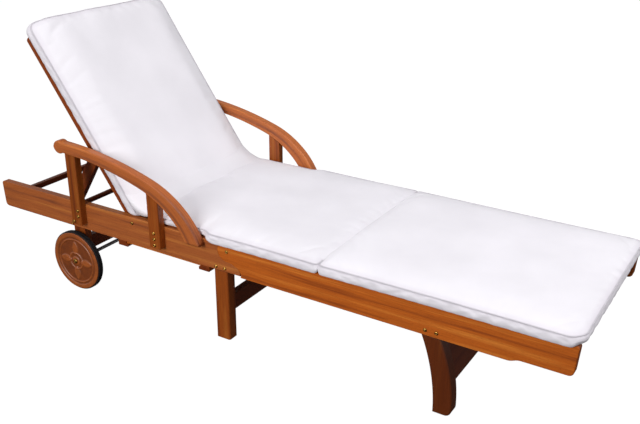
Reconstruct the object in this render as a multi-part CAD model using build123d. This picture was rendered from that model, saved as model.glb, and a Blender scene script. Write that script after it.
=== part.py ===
from build123d import *
import os
from math import atan2, cos, degrees, hypot, pi, radians, sin, sqrt

# A folding wooden sun lounger with two wheels, arched arms, a propped backrest and a loose pad.
# X runs from the head end to the foot end, Y across, Z up from the floor. Millimetres.
# While a piece is made, X counts from the head end of the side rails. It is centred at the end.

# Driving dimensions of the frame
rail_length = 2000          # head end of the rear rails to the foot end of the front rails
frame_width = 624           # over the outer faces of the side rails
rail_thickness = 25
rail_top = 322              # height of the rails' top edge above the floor
rear_rail_height = 90
front_rail_height = 95
rail_end_rake = 6           # the rails' ends lean by this much over their height
rail_corner_top = 9
rail_corner_bottom = 14
edge_round = 3              # softened edges of the legs and posts
edge_break = 1.5            # small chamfer on the rails' edges, hidden boards and slats

# Fold of the rails: a half-lap knuckle on one bolt each side
fold_x = 970
fold_drop = 22              # bolt centre below the rail's top edge
knuckle_radius = 34
knuckle_gap = 0.6
lap_face_gap = 0.4          # between the two halves of the lap, over the whole face
lap_start_angle = -78       # where the lap's lower line leaves the knuckle
lap_tail_reach = 36
lap_tail_drop = 46
lap_foot_reach = 46
lap_shift = 1.4             # the front half stands off the rear half along the lower line

# Step in the lower edge of the front rails, near the foot end
step_x = 1829
step_length = 37
step_height = 9

# Legs
leg_thickness = 38
mid_leg_x = 945             # centre of the middle legs
mid_leg_width = 50
mid_leg_tongue_top = 275
front_leg_top_x = 1625      # centre of the front legs at the rail
front_leg_width = 54
front_leg_foot_x = 1670     # centre of the front legs at the floor
front_leg_knee_height = 84
front_leg_foot_width = 53
toe_radius = 20
leg_bolt_spacing = 32
leg_bolt_height = 243
stretcher_thickness = 25
mid_stretcher_bottom = 82
mid_stretcher_height = 54
mid_stretcher_setback = 13  # behind the front face of the middle legs
apron_bottom = 90
apron_height = 112
apron_thickness = 22
apron_lean = 14             # degrees, with the front legs

# Wheels, their legs and the axle
wheel_radius = 104
wheel_width = 24
wheel_outer_gap = 8         # the wheel's face stands out past the rail's outer face
wheel_x = 334
tyre_depth = 8
wheel_leg_width = 50
wheel_leg_thickness = 25
wheel_leg_top = 250
wheel_leg_below_axle = 24
axle_radius = 6
axle_clearance = 0.1
axle_beam_bottom = 133
axle_beam_height = 48
axle_beam_thickness = 24
axle_beam_setback = 5
wheel_washer_radius = 14
wheel_side_gap = 0.4
hub_cap_radius = 9
hub_cap_height = 5

# Arms and their posts
arm_width = 30
arm_tip_x = 317
arm_rear_height = 536       # top of the arm above the floor, at the rear
arm_depth = 34
arm_edge = 3
post_thickness = 25
post_width = 43
rear_post_x = 380
front_post_x = 713
post_bottom = 256
post_bolt_inset = 10

# Backrest, its prop and the ladder that the prop stands on
backrest_x = 601            # pivot of the backrest
backrest_drop = 18          # pivot below the rail's top edge
rest_angle = 54.6           # raised by this much in the stored position
backrest_side_gap = 1.5
backrest_rail_thickness = 22
backrest_rail_below = 37    # rear face of the side rail from the pivot's axis
backrest_rail_above = 8
backrest_reach = 666
backrest_tail = 24
backrest_slat_thickness = 10
backrest_slat_width = 50
backrest_first_slat = 34
backrest_slat_count = 8
top_rail_width = 50
prop_up = 262.4             # prop pivot along the backrest
prop_behind = 20.5          # prop pivot behind the pivot's axis
prop_half_width = 18
prop_foot_half_width = 14
prop_taper = 80
prop_thickness = 20
prop_side_gap = 2
prop_foot_x = 277.7
prop_foot_z = 264
crossbar_radius = 9
crossbar_end_gap = 3
ladder_thickness = 20
ladder_top = 250
ladder_depth = 14
ladder_start_x = 60
notch_depth = 6
notch_pitch = 41
notch_count = 5
notch_clearance = 1
ladder_end_gap = 1          # between the ladder and the wheel's leg
rear_cross_x = 20
rear_cross_width = 17
rear_cross_height = 20
rear_cross_top = 277

# Slats and the ledges that carry them
slat_width = 50
slat_thickness = 12
slat_drop = 2               # slats' top below the rail's top edge
slat_pitch = 75
ledge_thickness = 20
ledge_height = 25
seat_start_x = 657
seat_slat_count = 4
leg_start_x = 1012
leg_slat_count = 13
slat_end_gap = 1

# Tray under the seat
batten_width = 40
batten_height = 17
rear_batten_x = 535
front_batten_x = 862
groove_depth = 9
tray_gap = 0.5
tray_slat_thickness = 6.5
tray_slat_width = 44
tray_slat_count = 11
tray_bearer_width = 20
tray_bearer_height = 9
tray_bearer_inset = 22
tray_end_inset = 6

# Pad in three sections
pad_height = 40
pad_crown = 7
pad_side_inset = 9
pad_draw = 6                # the sides pull in by this much between the corners
pad_corner = 42
pad_overhang = 13           # beyond the rails' outer faces, past the arms
pad_arm_gap = 4
pad_foot_overhang = 8
pad_seat_start_x = 662
pad_crease_x = 1286
pad_crease_gap = 3
pad_step_x = 905            # where the pad widens past the arms
pad_step_length = 26
pad_lift = 0.4
pad_back_start = 22
pad_back_reach = 702
pad_back_height = 34

# Fastenings
bolt_radius = 3
bolt_clearance = 0.1
bolt_head_radius = 5.5
bolt_head_height = 3.6
bolt_seat_gap = 0.1         # under the heads and nuts
pivot_nut_gap = 0.4         # the pivots' nuts stand off the boards that turn
nut_radius = 5
nut_height = 4
pivot_bolt_radius = 4
overrun = 5                 # cutters pass the surface by this much

rail_outer = frame_width / 2
rail_inner = rail_outer - rail_thickness
lap_middle = rail_outer - rail_thickness / 2
rear_rail_bottom = rail_top - rear_rail_height
front_rail_bottom = rail_top - front_rail_height
fold_z = rail_top - fold_drop
backrest_z = rail_top - backrest_drop
backrest_outer = rail_inner - backrest_side_gap
backrest_inner = backrest_outer - backrest_rail_thickness
backrest_top = backrest_rail_above + backrest_slat_thickness
prop_outer = backrest_inner - prop_side_gap
prop_inner = prop_outer - prop_thickness
top_rail_start = backrest_reach - rail_corner_top - top_rail_width
slat_top = rail_top - slat_drop
slat_bottom = slat_top - slat_thickness
leg_inner = rail_outer - leg_thickness
wheel_outer = rail_outer + wheel_outer_gap
wheel_inner = wheel_outer - wheel_width
pad_bottom = rail_top + pad_lift
side_reach = rail_outer + arm_width + overrun
centre_x = (rail_length + pad_foot_overhang) / 2

nodes = {}


def spot(x, z):
    """A point of a side view, on the plane Y = 0."""
    return Vector(x, 0, z)


def slab(outline, near, far):
    """A board whose side outline is given, from Y = near to Y = far."""
    face = outline if isinstance(outline, Face) else make_face(outline)
    solid = extrude(face, amount=far - near, dir=(0, 1, 0))
    return Pos(0, near, 0) * solid


def block(x0, x1, y0, y1, z0, z1):
    """A plain block between the given limits."""
    return Pos((x0 + x1) / 2, (y0 + y1) / 2, (z0 + z1) / 2) * Box(x1 - x0, y1 - y0, z1 - z0)


def eased(solid, axis, size):
    """Chamfer the long edges, those that run along the given axis."""
    return chamfer(solid.edges().filter_by(axis), size)


def closed(points):
    """A closed outline with straight sides through side-view points."""
    return Polyline(*points, close=True)


def rod(x, z, radius, near, far):
    """A round bar along Y between two planes."""
    return slab(disc(x, z, radius), near, far)


def disc(x, z, radius):
    """A round face in the side view."""
    return Face(Wire.make_circle(radius, Plane(spot(x, z), z_dir=(0, -1, 0))))


def domed_bolt(x, z, radius, near, far):
    """A bolt through boards that lie from Y = near to Y = far, with a domed head and a nut."""
    inner = far + bolt_seat_gap
    return headed_pin(x, z, radius, near, inner) + rod(x, z, nut_radius, inner, inner + nut_height)


def headed_pin(x, z, radius, near, far):
    """A pin with a domed head that seats on the face at Y = near."""
    seat = near - bolt_seat_gap
    head = rod(x, z, bolt_head_radius, seat - bolt_head_height, seat)
    head = chamfer(head.edges().sort_by(Axis.Y)[0], bolt_head_height / 2, bolt_head_height * 3 / 4)
    return head + rod(x, z, radius, seat, far)


def hole(x, z, radius):
    """A cutter for a bolt or pin that passes through everything on the right-hand side."""
    return rod(x, z, radius + bolt_clearance, -side_reach, 0)


def flipped(solid):
    """The same piece on the left-hand side."""
    return mirror(solid, about=Plane.XZ)


def pair(name, solid):
    """Store a right-hand piece and its mirror image."""
    nodes[name + "_right"] = solid
    nodes[name + "_left"] = flipped(solid)


def both(solids):
    """Group right-hand solids with their mirror images, all apart."""
    return Compound([s.solid() for piece in solids for s in (piece, flipped(piece))])


# Side rails and the half-lap knuckle

lap_start = spot(fold_x + knuckle_radius * cos(radians(lap_start_angle)),
                 fold_z + knuckle_radius * sin(radians(lap_start_angle)))
lap_tail = spot(fold_x + lap_tail_reach, fold_z - lap_tail_drop)


def lap_line(shift, bottom):
    """The lap's lower line, from inside the knuckle to the rail's lower edge."""
    inside = lap_start - (lap_tail - lap_start) / 3
    run = Line(inside + Vector(shift, 0, 0), lap_tail + Vector(shift, 0, 0))
    toe = TangentArc(run @ 1, spot(fold_x + lap_foot_reach + shift, bottom), tangent=run % 1)
    return run, toe


def rear_rail_blank():
    """Side view of the rear rail up to the middle of the knuckle."""
    run, toe = lap_line(0, rear_rail_bottom)
    head = [spot(rail_end_rake, rear_rail_bottom), spot(0, rail_top)]
    return make_face([run, toe, Polyline(toe @ 1, *head, spot(fold_x, rail_top),
                                         spot(fold_x, fold_z), run @ 0)])


def front_rail_blank():
    """Side view of the front rail, with the step in its lower edge."""
    run, toe = lap_line(lap_shift, front_rail_bottom)
    step_start = spot(step_x, front_rail_bottom)
    step_end = spot(step_x + step_length, front_rail_bottom + step_height)
    middle = (step_start + step_end) / 2
    rise = TangentArc(step_start, middle, tangent=(1, 0, 0))
    level = TangentArc(step_end, middle, tangent=(-1, 0, 0))
    foot = spot(rail_length - rail_end_rake, front_rail_bottom + step_height)
    return make_face([run, toe, Line(toe @ 1, step_start), rise, level,
                      Polyline(step_end, foot, spot(rail_length, rail_top),
                               spot(fold_x, rail_top), spot(fold_x, fold_z), run @ 0)])


def knuckle(near, far):
    """The round end of either lap, cut off level with the rail's top edge."""
    above = block(fold_x - knuckle_radius, fold_x + knuckle_radius, near, far,
                  rail_top, fold_z + knuckle_radius)
    return rod(fold_x, fold_z, knuckle_radius, near, far) - above


def rounded_ends(solid, x, drop):
    """Round the two corners of a rail's end in the side view."""
    upright = solid.edges().filter_by(Axis.Y)
    near_end = [e for e in upright if abs(e.center().X - x) < rail_end_rake * 2]
    near_end = sorted(near_end, key=lambda e: e.center().Z)
    solid = fillet(near_end[-1], rail_corner_top)
    low = [e for e in solid.edges().filter_by(Axis.Y)
           if abs(e.center().X - x) < rail_end_rake * 2 and e.center().Z < rail_top - drop]
    return fillet(low, rail_corner_bottom)


def softened(board):
    """Chamfer a rail's outline on both faces, except around the lap."""
    def far_from_lap(edge):
        return abs(edge.center().X - fold_x) > lap_foot_reach + knuckle_radius
    faces = [board.faces().sort_by(Axis.Y)[0], board.faces().sort_by(Axis.Y)[-1]]
    return chamfer([e for face in faces for e in face.edges() if far_from_lap(e)], edge_break)


def rear_rail():
    board = softened(rounded_ends(slab(rear_rail_blank(), -rail_outer, -rail_inner), 0,
                                  rear_rail_height / 2))
    pocket = rod(fold_x, fold_z, knuckle_radius + knuckle_gap, -rail_outer - overrun,
                 -lap_middle + lap_face_gap / 2)
    tongue = knuckle(-lap_middle + lap_face_gap / 2, -rail_inner)
    return board - pocket + tongue


def front_rail():
    board = softened(rounded_ends(slab(front_rail_blank(), -rail_outer, -rail_inner), rail_length,
                                  front_rail_height / 2))
    pocket = rod(fold_x, fold_z, knuckle_radius + knuckle_gap, -lap_middle - lap_face_gap / 2,
                 -rail_inner + overrun)
    nose = knuckle(-rail_outer, -lap_middle - lap_face_gap / 2)
    return board - pocket + nose


# Legs, stretchers and the axle

def leg_bolts_at(x, height):
    """Places of the two bolts that hold a leg."""
    return [(x - leg_bolt_spacing / 2, height), (x + leg_bolt_spacing / 2, height)]


mid_bolts = leg_bolts_at(mid_leg_x, leg_bolt_height)
front_bolts = leg_bolts_at(front_leg_top_x, leg_bolt_height)
wheel_leg_bolt = (wheel_x, wheel_leg_top - leg_bolt_spacing / 4)


def mid_leg():
    x0, x1 = mid_leg_x - mid_leg_width / 2, mid_leg_x + mid_leg_width / 2
    post = block(x0, x1, -rail_outer, -leg_inner, 0, rear_rail_bottom)
    post = fillet(post.edges().filter_by(Axis.Z), edge_round * 2)
    tongue = block(x0 + edge_round * 2, x1 - edge_round * 2, -rail_inner, -leg_inner,
                   rear_rail_bottom, mid_leg_tongue_top)
    leg = post + tongue
    for x, z in mid_bolts:
        leg -= hole(x, z, bolt_radius)
    return leg


def front_leg():
    half_top, half_foot = front_leg_width / 2, front_leg_foot_width / 2
    knee = front_leg_knee_height
    bottom_rear, top_rear = front_leg_foot_x - half_foot, front_leg_top_x - half_top
    bottom_front, top_front = front_leg_foot_x + half_foot, front_leg_top_x + half_top
    bend = (bottom_rear - top_rear) / sqrt(front_leg_width)
    rear_edge = ThreePointArc(spot(top_rear, front_rail_bottom),
                              spot(bottom_rear - bend, knee + edge_round),
                              spot(bottom_rear, 0))
    toe_start = spot(bottom_front, toe_radius)
    front_edge = ThreePointArc(spot(top_front, front_rail_bottom),
                               spot(bottom_front - bend, knee + leg_thickness / 2), toe_start)
    toe = ThreePointArc(toe_start, spot(bottom_front - toe_radius * (1 - cos(pi / 4)),
                                        toe_radius * (1 - sin(pi / 4))),
                        spot(bottom_front - toe_radius, 0))
    outline = make_face([rear_edge, front_edge, toe,
                         Line(spot(bottom_rear, 0), spot(bottom_front - toe_radius, 0)),
                         Line(spot(top_rear, front_rail_bottom), spot(top_front, front_rail_bottom))])
    leg = slab(outline, -rail_outer, -leg_inner)
    rim = [e for e in leg.edges() if abs(abs(e.center().Y) - rail_outer) < edge_break
           or abs(abs(e.center().Y) - leg_inner) < edge_break]
    rim = [e for e in rim if e.center().Z < front_rail_bottom - edge_round and e.center().Z > edge_break]
    leg = chamfer(rim, edge_round)
    tongue = block(top_rear + edge_round, top_front - edge_round, -rail_inner, -leg_inner,
                   front_rail_bottom - overrun, mid_leg_tongue_top)
    leg += tongue
    for x, z in front_bolts:
        leg -= hole(x, z, bolt_radius)
    return leg


def mid_stretcher():
    front = mid_leg_x + mid_leg_width / 2 - mid_stretcher_setback
    bar = block(front - stretcher_thickness, front, -leg_inner, leg_inner,
                mid_stretcher_bottom, mid_stretcher_bottom + mid_stretcher_height)
    return eased(bar, Axis.Y, edge_break)


def front_apron():
    foot_front = front_leg_foot_x + front_leg_foot_width / 2
    board = block(-apron_thickness, 0, -leg_inner, leg_inner, 0, apron_height)
    board = eased(board, Axis.Y, edge_break)
    return Pos(foot_front - apron_thickness / 2, 0, apron_bottom) * Rot(0, -apron_lean, 0) * board


def wheel_leg():
    x0, x1 = wheel_x - wheel_leg_width / 2, wheel_x + wheel_leg_width / 2
    foot_z = wheel_radius - wheel_leg_below_axle
    leg = block(x0, x1, -rail_inner, -rail_inner + wheel_leg_thickness, foot_z, wheel_leg_top)
    low = leg.edges().filter_by(Axis.Y).group_by(Axis.Z)[0]
    leg = fillet(low, wheel_leg_below_axle * 3 / 4)
    leg -= rod(wheel_x, wheel_radius, axle_radius + axle_clearance, -wheel_outer, 0)
    return leg - hole(*wheel_leg_bolt, bolt_radius)


def axle_beam():
    front = wheel_x + wheel_leg_width / 2 - axle_beam_setback
    reach = rail_inner - wheel_leg_thickness
    beam = block(front - axle_beam_thickness, front, -reach, reach,
                 axle_beam_bottom, axle_beam_bottom + axle_beam_height)
    return eased(beam, Axis.Y, edge_break)


def wheel_axle():
    return rod(wheel_x, wheel_radius, axle_radius, -wheel_outer, wheel_outer)


def axle_washer():
    """The spacer between the leg and the wheel."""
    near, far = -wheel_inner + wheel_side_gap, -rail_inner
    ring = rod(wheel_x, wheel_radius, wheel_washer_radius, near, far)
    return ring - rod(wheel_x, wheel_radius, axle_radius + axle_clearance, near - overrun, far + overrun)


def hub_cap():
    """The domed push-on cap at the axle's end."""
    far = -wheel_outer - wheel_side_gap
    cap = rod(wheel_x, wheel_radius, hub_cap_radius, far - hub_cap_height, far)
    cap = chamfer(cap.edges().sort_by(Axis.Y)[0], hub_cap_height / 2, hub_cap_height * 3 / 4)
    stub = rod(wheel_x, wheel_radius, axle_radius, far, -wheel_outer)
    return cap + stub


# Wheels: a turned disc with raised rings and a four-petal relief, in a rubber tyre

rim_radius = wheel_radius - tyre_depth
ring_height = 2.2
web_sink = 3                # the disc's field lies this far below the rim
ring_radii_shares = (0.80, 0.30)
ring_width = 7
rim_width = 9
hub_boss_radius = 14
petal_reach_share = 0.74
petal_width_share = 0.30
petal_start_share = 0.22


def wheel_profile():
    """Half section of the disc: radius across, depth along the axle from the outer face."""
    field = web_sink
    steps = [(axle_radius + axle_clearance, 0), (hub_boss_radius, 0), (hub_boss_radius + web_sink / 2, field)]
    for share in sorted(ring_radii_shares):
        middle = share * rim_radius
        steps += [(middle - ring_width / 2, field), (middle - ring_width / 4, field - ring_height),
                  (middle + ring_width / 4, field - ring_height), (middle + ring_width / 2, field)]
    steps += [(rim_radius - rim_width - web_sink / 2, field), (rim_radius - rim_width, 0), (rim_radius, 0),
              (rim_radius, wheel_width), (axle_radius + axle_clearance, wheel_width)]
    return steps


def petal(turn):
    """One raised petal of the relief, a pointed leaf between two arcs."""
    start, end = petal_start_share * rim_radius, petal_reach_share * rim_radius
    half = petal_width_share * rim_radius / 2
    middle = (start + end) / 2
    leaf = make_face([ThreePointArc(spot(start, 0), spot(middle, half), spot(end, 0)),
                      ThreePointArc(spot(end, 0), spot(middle, -half), spot(start, 0))])
    solid = extrude(leaf, amount=ring_height, dir=(0, 1, 0))
    return Rot(0, turn, 0) * Pos(0, web_sink - ring_height, 0) * solid


def wheel_disc():
    points = [Vector(r, y, 0) for r, y in wheel_profile()]
    disc_body = revolve(make_face(Polyline(*points, close=True)), Axis.Y)
    for quarter in range(4):
        disc_body += petal(quarter * 90 + 45)
    return Pos(wheel_x, -wheel_outer, wheel_radius) * disc_body


def tyre():
    """A plain band with bevelled shoulders, shrunk on the disc's rim."""
    shoulder = tyre_depth * 2 / 3
    half = [(rim_radius, 0), (wheel_radius - shoulder, 0), (wheel_radius - shoulder / 3, shoulder / 3),
            (wheel_radius, shoulder)]
    section = half + [(radius, wheel_width - depth) for radius, depth in reversed(half)]
    face = make_face(Polyline(*[Vector(radius, depth, 0) for radius, depth in section], close=True))
    return Pos(wheel_x, -wheel_outer, wheel_radius) * revolve(face, Axis.Y)


# Arms: a long flat arch that sweeps down to the rail, on two posts

arm_top_mid = (572, 507)
arm_top_bend = (700, 472.5)
arm_top_shoulder = (808, 411)
arm_top_foot = (885, 306)
arm_low_rear = (352, 502)
arm_low_mid = (503, 488.5)
arm_low_bend = (670, 445.5)
arm_low_shoulder = (770, 388)
arm_low_foot = (836, 306)


def arm_outline():
    top = ThreePointArc(spot(arm_tip_x + arm_depth, arm_rear_height), spot(*arm_top_mid),
                        spot(*arm_top_bend))
    bend = TangentArc(top @ 1, spot(*arm_top_shoulder), tangent=top % 1)
    drop = TangentArc(bend @ 1, spot(*arm_top_foot), tangent=bend % 1)
    low = ThreePointArc(spot(*arm_low_rear), spot(*arm_low_mid), spot(*arm_low_bend))
    low_bend = TangentArc(low @ 1, spot(*arm_low_shoulder), tangent=low % 1)
    low_drop = TangentArc(low_bend @ 1, spot(*arm_low_foot), tangent=low_bend % 1)
    tip = ThreePointArc(low @ 0, spot(arm_tip_x, (arm_rear_height + arm_low_rear[1]) / 2), top @ 0)
    return make_face([top, bend, drop, Line(drop @ 1, low_drop @ 1), low_drop, low_bend, low, tip])


def under_arm():
    """Side view of the space under the arm, where the posts stand."""
    low = ThreePointArc(spot(*arm_low_rear), spot(*arm_low_mid), spot(*arm_low_bend))
    bend = TangentArc(low @ 1, spot(*arm_low_shoulder), tangent=low % 1)
    return make_face([low, bend, Polyline(bend @ 1, spot(arm_low_shoulder[0], 0),
                                          spot(arm_low_rear[0], 0), low @ 0)])


def arm():
    solid = slab(arm_outline(), -rail_outer - arm_width, -rail_outer)
    rim = [e for e in solid.edges() if abs(e.center().Y + rail_outer) < edge_break
           or abs(e.center().Y + rail_outer + arm_width) < edge_break]
    return chamfer(rim, arm_edge)


def arm_post(x):
    post = block(x - post_width / 2, x + post_width / 2, -rail_outer - post_thickness, -rail_outer,
                 post_bottom, arm_rear_height)
    outer = [e for e in post.edges().filter_by(Axis.Z) if e.center().Y < -rail_outer - post_thickness / 2]
    post = fillet(outer, edge_round)
    under = slab(under_arm(), -side_reach, 0)
    return post & under


def post_bolt_places():
    """Bolts through the posts: three each, as a triangle behind and a row in front."""
    low = post_bottom + post_bolt_inset
    rear = [(rear_post_x + post_bolt_inset, low + post_bolt_inset * 4),
            (rear_post_x + post_bolt_inset, low + post_bolt_inset * 2),
            (rear_post_x - post_bolt_inset, low)]
    front = [(front_post_x, low + post_bolt_inset * n) for n in (0, 2, 4)]
    return rear + front


# Backrest, laid out flat about its pivot and then raised

def raised(solid):
    """Turn a piece of the flat backrest to the stored position."""
    return Pos(backrest_x, 0, backrest_z) * Rot(0, rest_angle, 0) * solid


def raised_point(up, over):
    """Side-view place of a point of the backrest in the stored position."""
    a = radians(rest_angle)
    return (backrest_x - up * cos(a) + over * sin(a), backrest_z + up * sin(a) + over * cos(a))


def backrest_rail():
    end = backrest_reach
    rail = block(-end, backrest_tail, -backrest_outer, -backrest_inner,
                 -backrest_rail_below, backrest_rail_above)
    across = rail.edges().filter_by(Axis.Y).group_by(Axis.X)
    rail = fillet(across[-1], (backrest_rail_below + backrest_rail_above) * 2 / 5)
    rail = fillet(rail.edges().filter_by(Axis.Y).group_by(Axis.X)[0], rail_corner_top)
    rail = eased(rail, Axis.X, edge_break)
    rail -= rod(0, 0, pivot_bolt_radius + bolt_clearance, -rail_outer, 0)
    rail -= rod(-prop_up, -prop_behind, bolt_radius + bolt_clearance, -rail_outer, 0)
    return raised(rail)


def backrest_slats():
    """Slats across the tops of the side rails."""
    low, high, reach = backrest_rail_above, backrest_top, backrest_outer
    pitch = (top_rail_start - backrest_first_slat) / backrest_slat_count
    slats = []
    for n in range(backrest_slat_count):
        start = backrest_first_slat + n * pitch
        slat = block(-start - backrest_slat_width, -start, -reach, reach, low, high)
        slats.append(raised(eased(slat, Axis.Y, edge_break)))
    return Compound(children=slats)


def backrest_top_rail():
    rail = block(-top_rail_start - top_rail_width, -top_rail_start, -backrest_inner, backrest_inner,
                 backrest_rail_above - backrest_rail_thickness, backrest_rail_above)
    return raised(eased(rail, Axis.Y, edge_break))


prop_head_x, prop_head_z = raised_point(prop_up, -prop_behind)
prop_length = hypot(prop_head_x - prop_foot_x, prop_head_z - prop_foot_z)
prop_slope = degrees(atan2(prop_head_z - prop_foot_z, prop_head_x - prop_foot_x))


def prop_leg():
    """A board from its pivot on the backrest to the crossbar, narrower at the foot."""
    neck = prop_length - prop_taper
    board = slab(disc(0, 0, prop_half_width), -prop_outer, -prop_inner)
    board += block(0, neck, -prop_outer, -prop_inner, -prop_half_width, prop_half_width)
    board += slab(closed([spot(neck, prop_half_width), spot(prop_length, prop_foot_half_width),
                          spot(prop_length, -prop_foot_half_width), spot(neck, -prop_half_width)]),
                  -prop_outer, -prop_inner)
    board += slab(disc(prop_length, 0, prop_foot_half_width), -prop_outer, -prop_inner)
    board -= rod(0, 0, bolt_radius + bolt_clearance, -rail_outer, 0)
    board = Pos(prop_head_x, 0, prop_head_z) * Rot(0, 180 - prop_slope, 0) * board
    return board - crossbar()


def crossbar():
    """The bar between the prop's feet, which drops into the ladder's notches."""
    reach = rail_inner - crossbar_end_gap
    return rod(prop_foot_x, prop_foot_z, crossbar_radius, -reach, reach)


def notch_strip():
    """The ladder inside the rail, with a round notch for each position of the prop."""
    end_x = wheel_x - wheel_leg_width / 2 - ladder_end_gap
    strip = block(ladder_start_x, end_x, -rail_inner, -rail_inner + ladder_thickness,
                  ladder_top - ladder_depth, ladder_top)
    for n in range(notch_count):
        x = prop_foot_x - n * notch_pitch
        strip -= rod(x, ladder_top + crossbar_radius - notch_depth,
                     crossbar_radius + notch_clearance, -rail_outer, 0)
    return strip


def rear_cross_rail():
    bar = block(rear_cross_x, rear_cross_x + rear_cross_width, -rail_inner, rail_inner,
                rear_cross_top - rear_cross_height, rear_cross_top)
    return eased(bar, Axis.Y, edge_break)


# Slats on their ledges

def ledge(x0, x1):
    strip = block(x0, x1, -rail_inner, -rail_inner + ledge_thickness,
                  slat_bottom - ledge_height, slat_bottom)
    return eased(strip, Axis.X, edge_break)


def slat_row(start, count):
    """Evenly spaced slats across the frame, lying on the ledges."""
    reach = rail_inner - slat_end_gap
    row = []
    for n in range(count):
        x = start + n * slat_pitch
        slat = block(x, x + slat_width, -reach, reach, slat_bottom, slat_top)
        row.append(eased(slat, Axis.Y, edge_break))
    return Compound(children=row)


seat_end_x = seat_start_x + (seat_slat_count - 1) * slat_pitch + slat_width
leg_end_x = leg_start_x + (leg_slat_count - 1) * slat_pitch + slat_width


# Tray that slides out sideways between two grooved battens

batten_bottom = rear_rail_bottom - batten_height
groove_top = rear_rail_bottom - tray_gap / 2
tray_top = groove_top - tray_gap
tray_bottom = tray_top - tray_slat_thickness


def batten(x, groove_side):
    bar = block(x, x + batten_width, -rail_outer, rail_outer, batten_bottom, rear_rail_bottom)
    bar = eased(bar, Axis.Y, edge_break)
    edge = x + batten_width if groove_side > 0 else x
    low, high = tray_bottom - tray_gap, rear_rail_bottom + overrun
    cut = block(edge - groove_depth, edge + groove_depth, -frame_width, frame_width, low, high)
    return bar - cut


tray_rear_x = rear_batten_x + batten_width - groove_depth + tray_gap
tray_front_x = front_batten_x + groove_depth - tray_gap


def tray_slats():
    span = frame_width - 2 * tray_end_inset - tray_slat_width
    row = []
    for n in range(tray_slat_count):
        y = -rail_outer + tray_end_inset + n * span / (tray_slat_count - 1)
        slat = block(tray_rear_x, tray_front_x, y, y + tray_slat_width, tray_bottom, tray_top)
        row.append(slat)
    return Compound(children=row)


def tray_bearers():
    reach = rail_outer - tray_end_inset - tray_slat_width / 2
    rear = rear_batten_x + batten_width + tray_bearer_inset
    front = front_batten_x - tray_bearer_inset - tray_bearer_width
    row = []
    for x in (rear, front):
        bar = block(x, x + tray_bearer_width, -reach, reach, tray_bottom - tray_bearer_height, tray_bottom)
        row.append(eased(bar, Axis.Y, edge_break))
    return Compound(children=row)


# Pads: crowned, with drawn-in sides and rounded corners

def pad_section(x, half, low, high, crown):
    """One cross-section of a pad: flat below, bulging sides, crowned above."""
    inset = pad_side_inset
    middle = (low + high) / 2
    right_low, right_high = (x, half - inset, low), (x, half - inset, high)
    left_low, left_high = (x, -half + inset, low), (x, -half + inset, high)
    return Wire([Edge.make_line(left_low, right_low),
                 Edge.make_three_point_arc(right_low, (x, half, middle), right_high),
                 Edge.make_three_point_arc(right_high, (x, 0, high + crown), left_high),
                 Edge.make_three_point_arc(left_high, (x, -half, middle), left_low)])


def pad(x0, x1, widths, height, end_corners):
    """A lofted pad from x0 to x1. widths lists (x, half width), end_corners the two plan radii."""
    corner_shares = (0.0, 0.12, 0.45, 1.0)
    sections = []

    def corner(end, inward, half, radius):
        """Sections that round one end in plan and in height."""
        found = []
        for share in corner_shares:
            run = share * radius
            back = radius - sqrt(radius * radius - (radius - run) ** 2)
            rise = (1 - sqrt(1 - (1 - share) ** 2)) * height / 4
            found.append(pad_section(end + inward * run, half - back, rise, height - rise,
                                     pad_crown * (share + 1) / 2))
        return found

    sections += corner(x0, 1, widths[0][1], end_corners[0])
    for x, half in widths[1:-1]:
        sections.append(pad_section(x, half, 0, height, pad_crown))
    sections += reversed(corner(x1, -1, widths[-1][1], end_corners[1]))
    return Solid.make_loft(sections, ruled=True)


pad_narrow = rail_outer - pad_arm_gap
pad_wide = rail_outer + pad_overhang
crease_round = pad_corner / 4


def cushion_seat():
    end = pad_crease_x - pad_crease_gap / 2
    solid = pad(pad_seat_start_x, end,
                [(0, pad_narrow - pad_draw / 2),
                 ((pad_seat_start_x + pad_step_x) / 2, pad_narrow - pad_draw),
                 (pad_step_x - pad_step_length, pad_narrow - pad_draw / 2),
                 (pad_step_x + pad_step_length, pad_wide - pad_draw / 2),
                 ((pad_step_x + end) / 2, pad_wide - pad_draw),
                 (0, pad_wide - pad_draw / 2)], pad_height, (crease_round, crease_round))
    return Pos(0, 0, pad_bottom) * solid


def cushion_leg():
    start, end = pad_crease_x + pad_crease_gap / 2, rail_length + pad_foot_overhang
    length = end - start
    solid = pad(start, end, [(0, pad_wide - pad_draw / 2), (start + length / 4, pad_wide - pad_draw),
                             (start + length / 2, pad_wide - pad_draw),
                             (end - length / 4, pad_wide - pad_draw / 2), (0, pad_wide)],
                pad_height, (crease_round, pad_corner))
    return Pos(0, 0, pad_bottom) * solid


def cushion_back():
    start, end = -pad_back_reach, -pad_back_start
    length = end - start
    solid = pad(start, end, [(0, pad_narrow), (start + length / 4, pad_narrow - pad_draw / 2),
                             (start + length / 2, pad_narrow - pad_draw),
                             (end - length / 4, pad_narrow - pad_draw), (0, pad_narrow - pad_draw / 2)],
                pad_back_height, (pad_corner, crease_round))
    return raised(Pos(0, 0, backrest_top + pad_lift) * solid)


# Put the frame together

post_bolts = post_bolt_places()
rear = rear_rail()
for x, z in mid_bolts + post_bolts + [wheel_leg_bolt]:
    rear -= hole(x, z, bolt_radius)
for x, z in [(fold_x, fold_z), (backrest_x, backrest_z)]:
    rear -= hole(x, z, pivot_bolt_radius)
pair("rear_rail", rear)

front = front_rail() - hole(fold_x, fold_z, pivot_bolt_radius)
for x, z in front_bolts:
    front -= hole(x, z, bolt_radius)
pair("front_rail", front)

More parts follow.
